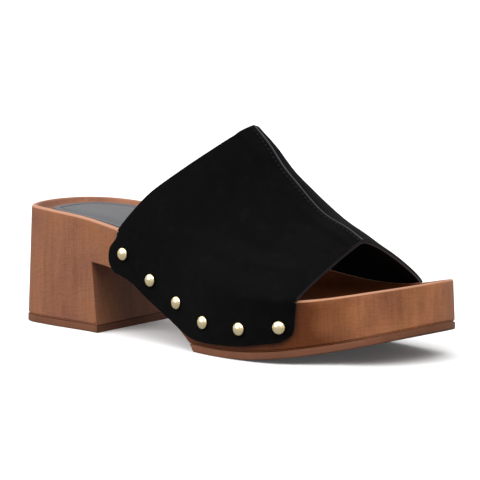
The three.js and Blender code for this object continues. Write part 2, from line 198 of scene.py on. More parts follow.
# Chamfered edge of the lap at the crown: how far it is from the crown line, how raised, and
# how much of the paler cut shows
lap_edge = table("reach raised cut", [
    (0.0016, 1, 0), (0.0012, 1, 0.15), (0.0009, 0.97, 0.7), (0.00065, 0.86, 1),
    (0.00042, 0.66, 1), (0.00022, 0.34, 0.8), (0.00008, 0.08, 0.3)])

# Where the wood's rings lie, on the rounded rim and on the way in over the bed
rim_angles = (18, 36, 54, 72, 90)
bed_shares = (0.02, 0.045, 0.07, 0.09, 0.11, 0.13, 0.15, 0.18, 0.22, 0.3, 0.4, 0.52, 0.66, 0.8)
# How far in over the bed the rim's paler colour, wear and a painted highlight, fades out
rim_fade = 0.06

# The upper's finer rows: along from each end, over the bend at the wood's edge, and beside the
# crown in shares of seam_width
edge_ramp = np.array([0, 0.003, 0.008, 0.015, 0.025, 0.04])
bend_ramp = np.array([0.06, 0.045, 0.032, 0.022, 0.012, 0.005, 0, -0.002, -0.004, -0.007,
                      -0.011, -0.018, -0.03, -0.05])
lap_reach = np.array([1.45, 1.3, 1.15, 1.0, 0.85, 0.7, 0.55, 0.4, 0.28])
medial_reach = np.array([1.4, 1.1, 0.8, 0.55, 0.35, 0.2, 0.1, 0.04])

# Rounded edge of the suede from its face to its lining: the way over, and how pale the cut is
edge_shades = table("share light", [
    (0, 0), (0.08, 0.2), (0.2, 0.3), (0.4, 0.3), (0.6, 0.35), (0.7, 0.5),
    (0.76, 1), (0.88, 1), (0.96, 1), (1, 0)])


def lerp(a, b, t):
    return a + (b - a) * t


def stack(x, y, z):
    return np.stack(np.broadcast_arrays(x, y, z), -1)


def smooth_step(value, low, high):
    t = np.clip((value - low) / (high - low), 0, 1)
    return t * t * (3 - 2 * t)


def bump(value, width):
    """1 at zero, falling to nothing over a few widths."""
    return np.exp(-((value / width) ** 2))


def smooth(rows, column, at):
    """Smooth curve through one column of a table."""
    places = rows["at"]
    values = rows[column]
    row = np.arange(len(places))
    after, before = np.minimum(row + 1, row[-1]), np.maximum(row - 1, 0)
    slopes = (values[after] - values[before]) / (places[after] - places[before])
    at = np.clip(at, places[0], places[-1])
    i = np.clip(np.searchsorted(places, at) - 1, 0, len(places) - 2)
    span = places[i + 1] - places[i]
    t = (at - places[i]) / span
    rise = values[i + 1] - values[i]
    a = slopes[i] * span - rise
    b = rise - slopes[i + 1] * span
    return values[i] + t * rise + t * (1 - t) * (a * (1 - t) + b * t)


# Outline from above and its two sides
def outline_knots():
    """Knots once around: the heel's back, the lateral side, the tip of the toe, the medial side."""
    def knots(at, y):
        return np.stack(np.broadcast_arrays(np.atleast_1d(at) * sole_length, y), -1)

    def half(side, heel_column, front):
        return np.concatenate([
            knots(heel_outline["at"], side * heel_outline[heel_column] * heel_width),
            knots(front["at"], side * front["half"] * ball_width)])

    return np.concatenate([
        knots(heel_back[0], heel_back[1] * heel_width), half(-1, "lateral", lateral_outline),
        knots(1, toe_tip * ball_width), half(1, "medial", medial_outline)[::-1]])


def closed_curve(knots, steps=160):
    """Smooth closed curve through the knots, its speed set by the distances between them."""
    t = (np.arange(steps) / steps)[:, None]
    stretches = []
    for k in range(len(knots)):
        before, start, end, after = (knots[(k + i) % len(knots)] for i in (-1, 0, 1, 2))
        d0, d1, d2 = (math.sqrt(math.dist(a, b)) for a, b in
                      ((before, start), (start, end), (end, after)))
        leave = ((start - before) / d0 - (end - before) / (d0 + d1) + (end - start) / d1) * d1
        reach = ((end - start) / d1 - (after - start) / (d1 + d2) + (after - end) / d2) * d1
        bend = -3 * start + 3 * end - 2 * leave - reach
        twist = 2 * start - 2 * end + leave + reach
        stretches.append(start + leave * t + bend * t**2 + twist * t**3)
    return np.concatenate(stretches)


def outline_side(curve, side):
    """Points and outward directions of one side, from the heel to the toe."""
    rear = int(curve[:, 0].argmin())
    tip = int(curve[:, 0].argmax())
    count = len(curve)
    steps = (tip - rear) % count if side < 0 else (rear - tip) % count
    k = (rear - side * np.arange(steps + 1)) % count
    ahead = curve[(k + 1) % count]
    behind = curve[(k - 1) % count]
    out = np.stack([ahead[:, 1] - behind[:, 1], behind[:, 0] - ahead[:, 0]], 1)
    out /= np.linalg.norm(out, axis=1)[:, None]
    run = np.concatenate([[0], np.cumsum(np.linalg.norm(np.diff(curve[k], axis=0), axis=1))])
    return {"x": curve[k, 0], "y": curve[k, 1], "out": out, "run": run}


outline = closed_curve(outline_knots())
rails = {side: outline_side(outline, side) for side in (-1, 1)}
rail_start = rails[1]["x"][0]
rail_end = rails[1]["x"][-1]


def edge_at(side, x, grow=0.0):
    """Point of the outline at a length along one side, pushed outwards by grow."""
    rail = rails[side]
    x = np.clip(x, rail_start, rail_end)
    y = np.interp(x, rail["x"], rail["y"])
    out = np.stack([np.interp(x, rail["x"], rail["out"][:, i]) for i in (0, 1)], -1)
    out /= np.linalg.norm(out, axis=-1, keepdims=True)
    grow = np.asarray(grow)
    return x + out[..., 0] * grow, y + out[..., 1] * grow, out


def edge_on(side, x, grow=0.0):
    """The same for points of both sides at once, without their directions."""
    lateral, medial = edge_at(-1, x, grow), edge_at(1, x, grow)
    return (np.where(side < 0, a, b) for a, b in zip(lateral[:2], medial[:2]))


def stops(side, start, end, count):
    """Places along one side, evenly spaced over the length of its edge."""
    rail = rails[side]
    runs = np.interp([start, end], rail["x"], rail["run"])
    return np.interp(np.linspace(runs[0], runs[1], count + 1), rail["run"], rail["x"])


# Heights and flare along the sole
def spring_at(x):
    past = np.maximum(x - toe_spring_start, 0)
    return toe_spring * (past / (sole_length - toe_spring_start)) ** 2


def wood_bottom_at(x):
    return spring_at(x) + tread_thickness + gap


def top_at(x):
    at = x / sole_length
    rise = (heel_height - platform_height) * smooth(top_line, "rise", at)
    return spring_at(x) + platform_height * smooth(top_line, "body", at) + rise


def wall_line(side, x, z, inset):
    """Points on the flared wall of the sole, at places along one side and at a height."""
    px, py, _ = edge_at(side, x, wall_grow(x, z) - inset)
    return stack(px, py, z)


def forward_of_breast(x):
    return np.clip((x - breast_foot) / (arch_end - breast_foot), 0, 1)


def wall_grow(x, z):
    heel = lerp(back_flare, breast_flare, np.clip(x / breast_foot, 0, 1))
    return lerp(heel, toe_flare, forward_of_breast(x)) * (1 - z / top_at(x))


def dish_at(x):
    return lerp(heel_dish, toe_dish, forward_of_breast(x))


def bed_at(x, inwards):
    """Height of the dished bed, some share of the way in from the rim to the middle line."""
    return top_at(x) - dish_at(x) * smooth(bed_line, "depth", inwards)


def breast_shift(y):
    return -y * math.tan(breast_skew)


def breast_at(y, z):
    """How far along the sole the front face of the heel stands at one height."""
    return breast_foot - breast_lean * z / arch_height + breast_shift(y)


def arch_at(x, y):
    """Height of the underside between the heel and the forefoot."""
    start = breast_at(y, arch_height)
    at = np.clip((x - start) / (arch_end - start), 0, 1)
    return lerp(wood_bottom_at(arch_end), arch_height, smooth(arch_line, "height", at))


def spine_at(x):
    """Middle line that the rings of the footbed close in on."""
    place = np.clip(x, sole_length * 0.14, sole_length * 0.86)
    return place, (edge_at(-1, place)[1] + edge_at(1, place)[1]) / 2


# Meshes from patches: grids of points that share their edges
def new_object(name, data):
    piece = bpy.data.objects.new(name, data)
    bpy.context.scene.collection.objects.link(piece)
    return piece


def patch(points, wrap=False, **masks):
    return {"points": np.asarray(points, float), "wrap": wrap, "masks": masks}


def join_patches(name, patches, mask_names=()):
    """One closed mesh from the patches, welded where they meet, its faces pointing outwards."""
    points, faces, start = [], [], 0
    masks = {mask: [] for mask in mask_names}
    for part in patches:
        rows, columns = part["points"].shape[:2]
        points.append(part["points"].reshape(-1, 3))
        for mask in mask_names:
            value = part["masks"].get(mask, 0.0)
            masks[mask].append(np.broadcast_to(value, (rows, columns)).ravel())
        r = np.arange(rows - 1)[:, None]
        c = np.arange(columns if part["wrap"] else columns - 1)[None, :]
        after = (c + 1) % columns
        quads = [r * columns + c, r * columns + after,
                 (r + 1) * columns + after, (r + 1) * columns + c]
        faces.append(np.stack(quads, -1).reshape(-1, 4) + start)
        start += rows * columns
    mesh = bpy.data.meshes.new(name)
    mesh.from_pydata(np.concatenate(points).tolist(), [], np.concatenate(faces).tolist())
    for mask in mask_names:
        layer = mesh.attributes.new(mask, "FLOAT", "POINT")
        layer.data.foreach_set("value", np.concatenate(masks[mask]).astype(np.float32))
    work = bmesh.new()
    work.from_mesh(mesh)
    bmesh.ops.remove_doubles(work, verts=work.verts, dist=weld_distance)
    bmesh.ops.recalc_face_normals(work, faces=work.faces)
    if work.calc_volume(signed=True) < 0:
        bmesh.ops.reverse_faces(work, faces=work.faces)
    work.to_mesh(mesh)
    work.free()
    return new_object(name, mesh)


def across(lateral, medial, columns):
    """Grid of points between two lines, one row for each pair of points."""
    share = np.linspace(0, 1, columns + 1)[None, :, None]
    return lateral[:, None, :] * (1 - share) + medial[:, None, :] * share


def face_between(lateral, medial):
    """Points from the last one of a lateral line to the last one of a medial line."""
    return across(lateral[-1:], medial[-1:], across_columns)[0][1:-1]


def shade(piece, angle):
    piece.data.shade_smooth()
    piece.data.set_sharp_from_angle(angle=math.radians(angle))


def apply_modifiers(piece):
    """Turns the piece and its modifiers into one plain mesh."""
    graph = bpy.context.evaluated_depsgraph_get()
    mesh = bpy.data.meshes.new_from_object(
        piece.evaluated_get(graph), preserve_all_data_layers=True, depsgraph=graph)
    piece.modifiers.clear()
    piece.data = mesh
    mesh.name = piece.name


# Wooden sole
def breast_stop(side, z):
    """Where the heel's front face meets the side of the sole."""
    x = breast_foot
    for _ in range(6):
        y = edge_at(side, np.array(x), wall_grow(x, z))[1]
        x = float(breast_at(y, z))
    return x


def sole_stops(side):
    """Places along one side, with one at each end of the arch."""
    breast = breast_stop(side, arch_height)
    return np.concatenate([
        stops(side, rail_start, breast, heel_stops)[:-1],
        stops(side, breast, arch_end, arch_stops)[:-1],
        stops(side, arch_end, rail_end, toe_stops)])


def wood_body():
    sides = {side: sole_stops(side) for side in (-1, 1)}
    fore = {side: smooth_step(x, arch_end, arch_end + groove_fade) for side, x in sides.items()}

    def bottom(side):
        x = sides[side]
        y = edge_at(side, x)[1]
        z = np.where(x < arch_end, arch_at(x, y), wood_bottom_at(x))
        z[: heel_stops + 1] = arch_height
        return z

    def low_row(side, up=0.0, inset=1):
        return wall_line(side, sides[side], bottom(side) + up, groove_depth * inset * fore[side])

    def side_row(side, share):
        low, high = bottom(side) + groove_height, top_at(sides[side]) - rim_radius
        return wall_line(side, sides[side], lerp(low, high, share), 0)

    def rim_row(side, angle):
        inset = rim_radius * (1 - math.cos(math.radians(angle)))
        drop = rim_radius * (1 - math.sin(math.radians(angle)))
        px, py, _ = edge_at(side, sides[side], -inset)
        return stack(px, py, top_at(px) - drop)

    def bed_row(side, shrink):
        px, py, _ = edge_at(side, sides[side], -rim_radius)
        sx, sy = spine_at(px)
        x = lerp(px, sx, shrink)
        return stack(x, lerp(py, sy, shrink), bed_at(x, shrink))

    rows, rim = [], []

    def ring(mask, row, *values):
        rows.append(np.concatenate([row(-1, *values), row(1, *values)[-2:0:-1]]))
        rim.append(mask)

    for up, inset in ((0, 1), (groove_height - groove_depth, 1), (groove_height, 0)):
        ring(0, low_row, up, inset)
    for share in np.linspace(0, 1, 10)[1:]:
        ring(0, side_row, share)
    # The rim mask marks where the paler rim colour goes: wear and a painted highlight on the
    # rounded top edge
    for angle in rim_angles:
        ring(1, rim_row, angle)
    for shrink in bed_shares:
        ring(max(0.0, 1 - shrink / rim_fade), bed_row, shrink)
    wall = patch(np.array(rows), wrap=True, rim=np.array(rim)[:, None])
    middle = patch(across(bed_row(-1, bed_shares[-1]), bed_row(1, bed_shares[-1]), 4))
    under = across(low_row(-1)[heel_stops:], low_row(1)[heel_stops:], across_columns)
    inner = under[..., 0] < arch_end
    inner[0] = inner[:, 0] = inner[:, -1] = False
    under[..., 2] = np.where(inner, arch_at(under[..., 0], under[..., 1]), under[..., 2])
    piece = join_patches("wood_body", [wall, middle, patch(under), *heel_block(sides)], ["rim"])
    soften_edges(piece)
    return piece


def heel_block(sides):
    """The block under the heel seat, from the arch down to the lift."""
    low = wood_bottom_at(0.0)
    levels = [(z, 0.0) for z in np.linspace(arch_height, low + groove_height, 14)]
    levels += [(low + groove_height - groove_depth, groove_depth), (low, groove_depth)]

    def line(side, z, inset):
        x = sides[side][: heel_stops + 1]
        end = breast_stop(side, z)
        x = rail_start + (x - rail_start) * (end - rail_start) / (x[-1] - rail_start)
        return wall_line(side, x, z, inset)

    rings = []
    for z, inset in levels:
        lateral, medial = line(-1, z, inset), line(1, z, inset)
        rings.append(np.concatenate([lateral, face_between(lateral, medial), medial[:0:-1]]))
    return [patch(np.array(rings), wrap=True), patch(across(lateral, medial, across_columns))]


def soften_edges(piece):
    """Small rounding on the long edges of the arch and the heel's front face."""
    mesh = piece.data
    work = bmesh.new()
    work.from_mesh(mesh)
    weight = work.edges.layers.float.new("bevel_weight_edge")
    lowest = wood_bottom_at(arch_end) + groove_height + groove_depth
    highest = arch_height + small_step / 10
    for edge in work.edges:
        middle = (edge.verts[0].co + edge.verts[1].co) / 2
        in_reach = lowest < middle.z < highest and middle.x < arch_end
        if in_reach and len(edge.link_faces) == 2 and edge.calc_face_angle(0) >= math.radians(55):
            edge[weight] = 1
    work.to_mesh(mesh)
    work.free()
    rounding = piece.modifiers.new("rounding", "BEVEL")
    rounding.limit_method = "WEIGHT"
    rounding.width = wood_edge_radius
    rounding.segments = 3
    apply_modifiers(piece)
    shade(piece, 38)


# Rubber under the heel and the forefoot
def tread(name, side_start, side_end, rear_is_round, undercut, count):
    """Slab of rubber: a rounded side, and a bottom with fine grooves across it."""
    edge = tread_rounding

    def line(side, lip, up, cut):
        start = side_start(side) + (0 if rear_is_round else cut)
        x = stops(side, max(start, rail_start), side_end(side), count)
        px, py, _ = edge_at(side, x, wall_grow(x, spring_at(x)) + lip)
        return stack(px, py, spring_at(px) + up)

    def ring(lip, up, cut):
        lateral, medial = line(-1, lip, up, cut), line(1, lip, up, cut)
        if rear_is_round:
            return np.concatenate([lateral, face_between(lateral, medial), medial[:0:-1]])
        return np.concatenate([lateral, medial[-2::-1], face_between(medial[::-1], lateral[::-1])])

    profile = [
        (-edge, 0, 1), (-edge * 0.4, edge * 0.12, 0.97), (-edge * 0.06, edge * 0.55, 0.9),
        (0, edge * 1.1, 0.8), (0, tread_thickness - edge * 1.1, 0.2),
        (-edge * 0.1, tread_thickness - edge * 0.4, 0.08), (-edge, tread_thickness, 0)]
    rings = [ring(lip, up, undercut * cut) for lip, up, cut in profile]
    bottom, top = (across(line(-1, -edge, up, cut), line(1, -edge, up, cut), across_columns)
                   for up, cut in ((0, undercut), (tread_thickness, 0)))
    x, y = bottom[..., 0], bottom[..., 1]
    phase = (x - breast_shift(y)) / rib_pitch
    groove = bump((phase - np.round(phase)) * rib_pitch, rib_width)
    width = np.abs(y[:, :1] - y[:, -1:])
    from_side = np.minimum(np.abs(y - y[:, :1]), np.abs(y - y[:, -1:]))
    inside = smooth_step(from_side, rib_margin * 0.6, rib_margin)
    inside = inside * smooth_step(width, rib_margin * 3, rib_margin * 4)
    ends = np.minimum(np.abs(x - x[:1].mean()), np.abs(x - x[-1:].mean()))
    inside = inside * smooth_step(ends, rib_margin * 0.6, rib_margin)
    bottom[..., 2] += rib_depth * groove * inside
    piece = join_patches(name, [patch(np.array(rings), wrap=True), patch(bottom), patch(top)])
    shade(piece, 40)
    return piece


def heel_lift():
    def end(side):
        return breast_foot + breast_shift(side * heel_width / 2)

    return tread("heel_rubber", lambda side: rail_start, end, True, 0.0, lift_stops)


def outsole():
    return tread("forefoot_rubber", lambda side: arch_end, lambda side: rail_end,
                 False, tread_undercut, outsole_stops)


# Padded heel sock
def heel_sock():
    """Pad in the dish of the heel seat: crowned, with a pressed channel inside its edge."""
    top = gap + sock_thickness

    def place(side, shrink, up):
        x = stops(side, rail_start, sock_length, sock_stops)
        px, py, _ = edge_at(side, x, -rim_radius)
        sx, sy = spine_at(px)
        rear = 1 - sock_rear_inset * (1 - x / sock_length) ** 4
        drawn_in = 1 - (1 - shrink) * rear
        bed_x, bed_y = lerp(px, sx, drawn_in), lerp(py, sy, drawn_in)
        inwards = np.hypot(px - sx, py - sy) * (shrink - 0.19) * rear
        z = bed_at(bed_x, drawn_in) + up
        if up >= top:
            z = z - channel_depth * bump(inwards - channel_inset, channel_width)
            z = z + sock_crown * smooth_step(inwards, channel_inset, channel_inset * 2.4)
        return stack(bed_x, bed_y, z)

    edge = [(0.215, gap), (0.198, gap + 0.0003), (0.19, gap + 0.0009), (0.191, gap + 0.0014),
            (0.196, gap + 0.0018), (0.207, gap + 0.0021)]
    under = [(shrink, gap) for shrink in (0.85, 0.6, 0.4, 0.28)]
    over = [(shrink, top) for shrink in
            np.concatenate([np.linspace(0.222, 0.46, 22), [0.5, 0.56, 0.64, 0.74, 0.85]])]
    rows = []
    for shrink, up in [*under, *edge, *over]:
        lateral, medial = place(-1, shrink, up), place(1, shrink, up)
        rows.append(np.concatenate([lateral, medial[:0:-1]]))
    pad = patch(np.array(rows), wrap=True)
    low = patch(across(place(-1, 0.85, gap), place(1, 0.85, gap), 4))
    high = patch(across(place(-1, 0.85, top), place(1, 0.85, top), 4))
    piece = join_patches("padded_sock", [pad, low, high])
    shade(piece, 50)
    return piece


# Upper
def flange_top_at(x):
    return top_at(x) - rim_radius * 0.3


def hem_at(x):
    return platform_height * smooth(hem_line, "height", x / sole_length)


def front_of(side):
    return np.where(side < 0, lateral_front, medial_front)


def upper_point(along, around):
    """Inner surface of the upper, from its rear edge to its front edge and from hem to hem."""
    along, around = np.broadcast_arrays(along, around)
    side = np.where(around < 0, -1, 1)
    turn = np.abs(around)
    front = front_of(side)

    down = np.clip(turn - 1, 0, 1)
    rear = base_rear - flange_reach * smooth(flange_ends, "back", down)
    fx = lerp(rear, front - flange_reach * smooth(flange_ends, "front", down), along)
    fz = lerp(flange_top_at(fx), hem_at(fx), down)
    grow = wall_grow(fx, fz) + gap
    flange = stack(*edge_on(side, fx, grow), fz)

    up = np.clip(turn, 0, 1)
    base_x = lerp(base_rear, front, along)
    crown_x = lerp(crown_rear, crown_front, along)
    crown_z = instep_height * smooth(crown_line, "height", along)
    shoulder = smooth(arch_shape, "shoulder", along)
    ridge = np.where(side < 0, smooth(arch_shape, "lateral", along),
                     smooth(arch_shape, "medial", along))
    spread = up**3 + 3 * up**2 * (1 - up) + 3 * up * (1 - up) ** 2 * ridge
    lift = 3 * up**2 * (1 - up) * shoulder + 3 * up * (1 - up) ** 2 + (1 - up) ** 3
    bow = rear_bow * smooth(bow_line, "back", lift) * (1 - along) ** 2
    x = lerp(base_x, crown_x, lift) - bow
    hug = smooth_step(lift, 0, 0.3)
    _, own_y = edge_on(side, x, gap)
    _, base_y = edge_on(side, base_x, gap)
    y = lerp(crown_shift, lerp(own_y, base_y, hug), spread)
    arch = stack(x, y, lerp(flange_top_at(base_x), crown_z, lift))
    return np.where((turn > 1)[..., None], flange, arch)


def upper_normal(along, around):
    step = 0.004
    ahead = upper_point(np.minimum(along + step, 1), around)
    behind = upper_point(np.maximum(along - step, 0), around)
    over = upper_point(along, np.minimum(around + step, 2))
    under = upper_point(along, np.maximum(around - step, -2))
    out = np.cross(ahead - behind, over - under)
    return out / np.linalg.norm(out, axis=-1, keepdims=True)


def fold_height(along, around):
    """Low relief of the suede away from its edges."""
    height = np.zeros(np.broadcast(along, around).shape)
    for a, t, length, width, depth in zip(*folds.values()):
        slope = (around - t) + (along - a) * 0.35 * np.sign(t)
        height = height + depth * bump(along - a, length) * bump(slope, width)
    return height * smooth_step(np.minimum(along, 1 - along), 0.02, 0.12)


def turns_for(along, side, reaches):
    """How far around from the crown each length over the leather reaches, for each station."""
    turn = np.linspace(0, 0.5, 240)
    line = upper_point(along[:, None], side * turn[None, :])
    run = np.cumsum(np.linalg.norm(np.diff(line, axis=1), axis=2), axis=1)
    run = np.concatenate([np.zeros((len(along), 1)), run], 1)
    return np.stack([np.interp(reaches, row, turn) for row in run])


def upper_rows(along):
    """Turns, how raised the wall is and how cut it looks: rows from lateral to medial hem."""
    flange = 2 - np.concatenate([edge_ramp * 2, np.linspace(0.12, 0.9, 12)])
    low = np.concatenate([flange, 1 + bend_ramp])
    stations = len(along)

    def half(side, reaches, raises):
        close = turns_for(along, side, reaches)
        fixed = np.broadcast_to(low, (stations, len(low)))
        share = np.linspace(0, 1, upper_turns + 1)[None, 1:-1]
        arch = lerp(fixed[:, -1:], close[:, :1], share)
        turns = np.concatenate([fixed, arch, close], 1)
        flat = np.zeros(turns.shape[1] - len(reaches))
        return side * turns, np.concatenate([flat, raises])

    lap = seam_width * lap_reach
    lap_raise = smooth_step(-lap, -seam_width * 1.4, -seam_width)
    lateral, lateral_up = half(-1, np.concatenate([lap, lap_edge["reach"]]),
                               np.concatenate([lap_raise, lap_edge["raised"]]))
    medial, medial_up = half(1, seam_width * medial_reach, np.zeros(len(medial_reach)))
    around = np.concatenate([lateral, np.zeros((stations, 1)), medial[:, ::-1]], 1)
    cut = np.zeros(around.shape[1])
    cut[lateral.shape[1] - len(lap_edge["cut"]):lateral.shape[1]] = lap_edge["cut"]
    return around, np.concatenate([lateral_up, [0], medial_up[::-1]]), cut


def upper_shell():
    middle = np.linspace(0.05, 0.95, upper_stations)
    along = np.concatenate([edge_ramp, middle, 1 - edge_ramp[::-1]])
    around, raised, cut_rows = upper_rows(along)
    past = np.abs(around) - 1
    from_bend = np.where(past > 0, past * flange_width, past * arch_width)
    notch = bump(from_bend, notch_width)
    cut = notch * notch_depth / (lateral_front - base_rear)
    place = lerp(cut, 1 - cut, along[:, None])
    lining = upper_point(place, around)
    thickness = leather + seam_height * raised[None, :] + fold_height(place, around)
    outside = lining + upper_normal(place, around) * thickness[..., None]
    band, band_light = edge_band(lining, outside)
    shell = [
        patch(outside, cut_edge=cut_rows[None, :], inner=0.0),
        patch(lining, cut_edge=0.0, inner=1.0),
        patch(band, wrap=True, cut_edge=band_light, inner=0.0)]
    piece = join_patches("suede_upper", shell, ["cut_edge", "inner"])
    shade(piece, 48)
    return piece


def border(grid):
    """The grid's outer edge, once around."""
    return np.concatenate([grid[0, :-1], grid[:-1, -1], grid[-1, :0:-1], grid[:0:-1, 0]])


def edge_band(lining, outside):
    """Rounded edge between the inner and the outer surface, its inner half a paler cut."""
    rows, columns = lining.shape[:2]
    out = np.zeros_like(lining)
    out[0] += lining[0] - lining[1]
    out[-1] += lining[-1] - lining[-2]
    side = np.zeros_like(lining)
    side[:, 0] += lining[:, 0] - lining[:, 1]
    side[:, -1] += lining[:, -1] - lining[:, -2]

    def unit(v):
        return v / np.maximum(np.linalg.norm(v, axis=-1, keepdims=True), 1e-9)

    push = border(unit(unit(out) + unit(side)))
    a, b = border(outside), border(lining)
    light = np.zeros((rows, columns))
    light[0] = light[-1] = 1
    rings, lights = [], []
    for share, value in zip(*edge_shades.values()):
        bulge = edge_bulge * math.sqrt(max(0.0, 1 - (2 * share - 1) ** 4))
        rings.append(lerp(a, b, share) + push * bulge)
        lights.append(border(light) * value)
    return np.array(rings), np.array(lights)


# Nodes
def plug(tree, node, values):
    """Sets a node's inputs, found by label or number, or links them where a value is a socket."""
    for label, value in values.items():
        for item in value if isinstance(value, list) else [value]:
            if isinstance(item, bpy.types.NodeSocket):
                tree.links.new(item, node.inputs[label])
            else:
                node.inputs[label].default_value = item
    return node


def add(tree, kind, values=None, **settings):
    """Makes a node with its settings and its inputs, and returns its outputs."""
    node = tree.nodes.new(kind)
    for setting, value in settings.items():
        setattr(node, setting, value)
    return plug(tree, node, values or {}).outputs


def maths(tree, operation, *values):
    return add(tree, "ShaderNodeMath", dict(enumerate(values)), operation=operation)[0]


def new_group(name, kind, inputs, outputs):
    """Empty node group. A socket is a number unless its name says another kind."""
    tree = bpy.data.node_groups.new(name, kind)
    for in_out, labels in (("INPUT", inputs), ("OUTPUT", outputs)):
        for label in labels:
            socket = label if label in ("Geometry", "Material", "Vector") else "Float"
            tree.interface.new_socket(label, in_out=in_out, socket_type="NodeSocket" + socket)
    return tree, add(tree, "NodeGroupInput"), tree.nodes.new("NodeGroupOutput")


# Stitches and nails, repeated by node trees
def finish_tree(tree, target, geometry, material):
    """Ends the tree in Realize Instances and Set Material."""
    real = add(tree, "GeometryNodeRealizeInstances", {"Geometry": geometry})
    painted = add(tree, "GeometryNodeSetMaterial", {
        "Geometry": real["Geometry"], "Material": material})
    plug(tree, target, {"Geometry": painted["Geometry"]})


def run_tree(piece, tree, values):
    """Puts the tree on the piece, sets its inputs and keeps the result as a plain mesh."""
    modifier = piece.modifiers.new(tree.name, "NODES")
    modifier.node_group = tree
    ids = {item.name: item.identifier for item in tree.interface.items_tree
           if item.item_type == "SOCKET" and item.in_out == "INPUT"}
    for label, value in values.items():
        modifier[ids[label]] = value
    apply_modifiers(piece)


def turned_to(tree, axis_field, along_field=None):
    """Rotation that stands an instance's Z on one direction and its X along another."""
    first = add(tree, "FunctionNodeAlignRotationToVector", {"Vector": axis_field}, axis="Z")
    if along_field is None:
        return first["Rotation"]
    second = add(tree, "FunctionNodeAlignRotationToVector", {
        "Rotation": first["Rotation"], "Vector": along_field}, axis="X", pivot_axis="Z")
    return second["Rotation"]


def outward(tree):
    """The direction that each guide point carries."""
    field = add(tree, "GeometryNodeInputNamedAttribute", {"Name": "out"}, data_type="FLOAT_VECTOR")
    return field["Attribute"]


def stitch_tree():
    """Stitches along a line: a squashed ball of thread at each step of the pitch, lying along the
    line.
    """
    tree, source, target = new_group(
        "stitches on a line", "GeometryNodeTree",
        ["Geometry", "Pitch", "Stitch length", "Thread radius", "Material"], ["Geometry"])
    line = add(tree, "GeometryNodeMeshToCurve", {"Mesh": source["Geometry"]})
    spaced = add(tree, "GeometryNodeResampleCurve", {
        "Curve": line["Curve"], "Length": source["Pitch"]}, mode="LENGTH")
    tangent = add(tree, "GeometryNodeInputTangent")["Tangent"]
    ball = add(tree, "GeometryNodeMeshUVSphere", {
        "Segments": stitch_facets, "Rings": stitch_facets, "Radius": 1.0})
    size = add(tree, "ShaderNodeCombineXYZ", {
        "X": maths(tree, "MULTIPLY", source["Stitch length"], 0.5),
        "Y": source["Thread radius"], "Z": source["Thread radius"]})
    place = add(tree, "GeometryNodeInstanceOnPoints", {
        "Points": spaced["Curve"], "Instance": ball["Mesh"],
        "Rotation": turned_to(tree, outward(tree), tangent), "Scale": size["Vector"]})
    finish_tree(tree, target, place["Instances"], source["Material"])
    return tree


def nail_tree():
    """Domed nails on points: a squashed ball for the head over a thin shank."""
    tree, source, target = new_group(
        "domed nails", "GeometryNodeTree",
        ["Geometry", "Head", "Rise", "Shank", "Length", "Material"], ["Geometry"])
    radius = maths(tree, "MULTIPLY", source["Head"], 0.5)
    ball = add(tree, "GeometryNodeMeshUVSphere", {
        "Segments": nail_facets, "Rings": nail_rings, "Radius": radius})
    position = add(tree, "GeometryNodeInputPosition")["Position"]
    parts = add(tree, "ShaderNodeSeparateXYZ", {"Vector": position})
    above = maths(tree, "GREATER_THAN", parts["Z"], 0.0)
    height = maths(tree, "DIVIDE", source["Rise"], radius)
    taller = maths(tree, "MULTIPLY", above, maths(tree, "SUBTRACT", height, nail_underside))
    share = maths(tree, "ADD", taller, nail_underside)
    squashed = add(tree, "ShaderNodeCombineXYZ", {
        "X": parts["X"], "Y": parts["Y"], "Z": maths(tree, "MULTIPLY", parts["Z"], share)})
    dome = add(tree, "GeometryNodeSetPosition", {
        "Geometry": ball["Mesh"], "Position": squashed["Vector"]})
    stem = add(tree, "GeometryNodeMeshCylinder", {
        "Vertices": shank_facets, "Radius": maths(tree, "MULTIPLY", source["Shank"], 0.5),
        "Depth": source["Length"]})
    drop = add(tree, "ShaderNodeCombineXYZ", {
        "Z": maths(tree, "MULTIPLY", source["Length"], -0.5)})
    shank = add(tree, "GeometryNodeTransform", {
        "Geometry": stem["Mesh"], "Translation": drop["Vector"]})
    both = add(tree, "GeometryNodeJoinGeometry", {
        "Geometry": [dome["Geometry"], shank["Geometry"]]})
    points = add(tree, "GeometryNodeMeshToPoints", {"Mesh": source["Geometry"]})
    place = add(tree, "GeometryNodeInstanceOnPoints", {
        "Points": points["Points"], "Instance": both["Geometry"],
        "Rotation": turned_to(tree, outward(tree))})
    finish_tree(tree, target, place["Instances"], source["Material"])
    return tree


def guide(name, points, outs, joined):
    """Loose points, or one line of them, with an outward direction each."""
    mesh = bpy.data.meshes.new(name)
    edges = [(i, i + 1) for i in range(len(points) - 1)] if joined else []
    mesh.from_pydata(np.asarray(points).tolist(), edges, [])
    layer = mesh.attributes.new("out", "FLOAT_VECTOR", "POINT")
    layer.data.foreach_set("vector", np.asarray(outs, np.float32).ravel())
    return new_object(name, mesh)


def seam_stitches(thread):
    """One row of thread on the lap, beside its edge."""
    along = np.linspace(0.012, 0.988, stitch_stations)
    turn = turns_for(along, -1, [stitch_inset])[:, 0]
    normal = upper_normal(along, -turn)
    points = upper_point(along, -turn) + normal * (leather + seam_height + thread_radius * 0.25)
    line = guide("seam_stitches", points, normal, True)
    run_tree(line, stitch_tree(), {
        "Pitch": stitch_pitch, "Stitch length": stitch_length,
        "Thread radius": thread_radius, "Material": thread})
    line.data.shade_smooth()
    return line


